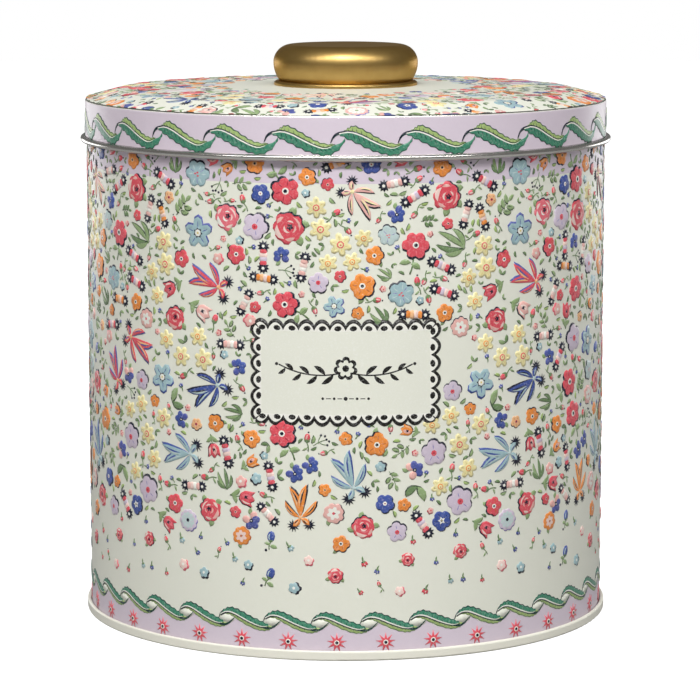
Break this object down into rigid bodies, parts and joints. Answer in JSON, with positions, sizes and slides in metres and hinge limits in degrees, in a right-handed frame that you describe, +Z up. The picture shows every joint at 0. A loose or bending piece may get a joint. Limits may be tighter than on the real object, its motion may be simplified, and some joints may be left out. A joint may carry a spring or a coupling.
{
  "type": "round slip-lid biscuit tin",
  "caption": "Round printed tinplate biscuit tin with an embossed floral wall, a shallow domed slip lid that lifts off, and a flat-topped gold metal knob.",
  "frame": {"origin": "on the tin's axis at the plane it stands on", "axes": "+Z up along the tin's axis, -Y towards the front with the label panel, +Y towards the lock seam at the back"},
  "size_m": [0.1636, 0.1636, 0.1753],
  "materials": {
    "printed_tinplate_body": "varnished floral print on cream, embossed",
    "printed_tinplate_lid": "varnished floral print on lavender and cream",
    "cream_lacquered_tinplate": "gloss lacquer",
    "gold_lacquered_metal": "satin gold lacquer",
    "plain_brass": "turned",
    "zinc_plated_steel": "zinc plated"
  },
  "bodies": {
    "tin": {"body_wall": "printed_tinplate_body", "base_end": "cream_lacquered_tinplate"},
    "lid": {"lid_shell": "printed_tinplate_lid", "knob_shell": "gold_lacquered_metal", "knob_foot": "gold_lacquered_metal", "knob_bush": "plain_brass", "flat_washer": "zinc_plated_steel", "spring_washer": "zinc_plated_steel", "knob_screw": "zinc_plated_steel"}
  },
  "joints": [
    {"name": "lid_lift", "type": "slide", "parent": "tin", "child": "lid", "axis": [0, 0, 1], "range_m": [0, 0.2]}
  ]
}
